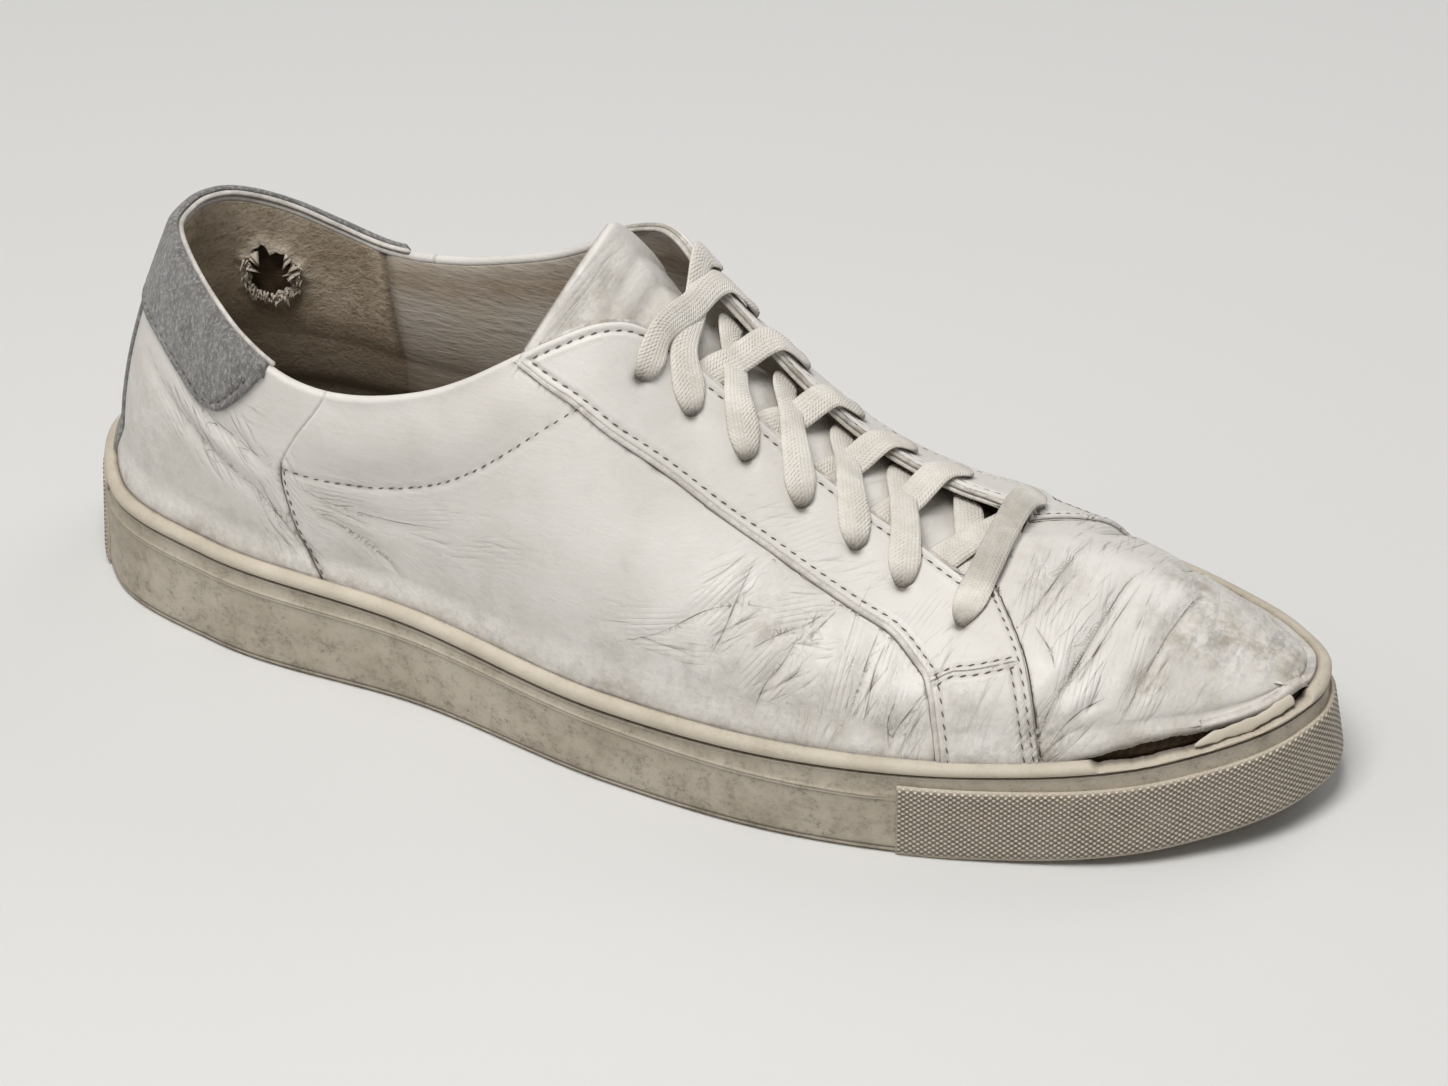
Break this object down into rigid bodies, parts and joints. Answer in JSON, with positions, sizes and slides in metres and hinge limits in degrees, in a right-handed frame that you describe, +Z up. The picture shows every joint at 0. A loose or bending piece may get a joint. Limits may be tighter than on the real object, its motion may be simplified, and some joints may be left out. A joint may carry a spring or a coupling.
{
  "type": "worn out sneaker",
  "caption": "Worn low-top court sneaker for the right foot, with a rubber cup sole, a hollow leather upper, a suede heel tab, a tongue and criss-cross flat laces.",
  "frame": {"origin": "on the floor under the middle of the heel seat", "axes": "+X towards the toe, +Y towards the inner (medial) side of the foot, +Z up"},
  "size_m": [0.3003, 0.1065, 0.1115],
  "materials": {
    "white rubber": "matt, scuffed and grimy off-white cup sole",
    "knurled rubber": "matt, fine diamond knurl, grimy",
    "white leather": "smooth white leather, creased and scuffed",
    "eyestay leather": "smooth white leather with dark stitching",
    "grey suede": "short-napped grey suede",
    "tongue leather": "smooth white leather, creased",
    "insole lining": "worn, soiled footbed lining",
    "lace cotton": "flat woven cotton, fuzzy and soiled"
  },
  "bodies": {
    "root": {"cup_sole": "white rubber", "toe_bumper": "knurled rubber", "heel_patch": "knurled rubber", "upper": "white leather", "eyestay_lateral": "eyestay leather", "eyestay_medial": "eyestay leather", "heel_tab": "grey suede", "back_strip": "grey suede", "tongue": "tongue leather", "insole": "insole lining", "lace_bottom_bar": "lace cotton", "lace_crossing_1": "lace cotton", "lace_crossing_2": "lace cotton", "lace_crossing_3": "lace cotton", "lace_crossing_4": "lace cotton", "lace_crossing_5": "lace cotton", "lace_crossing_6": "lace cotton"}
  },
  "joints": []
}
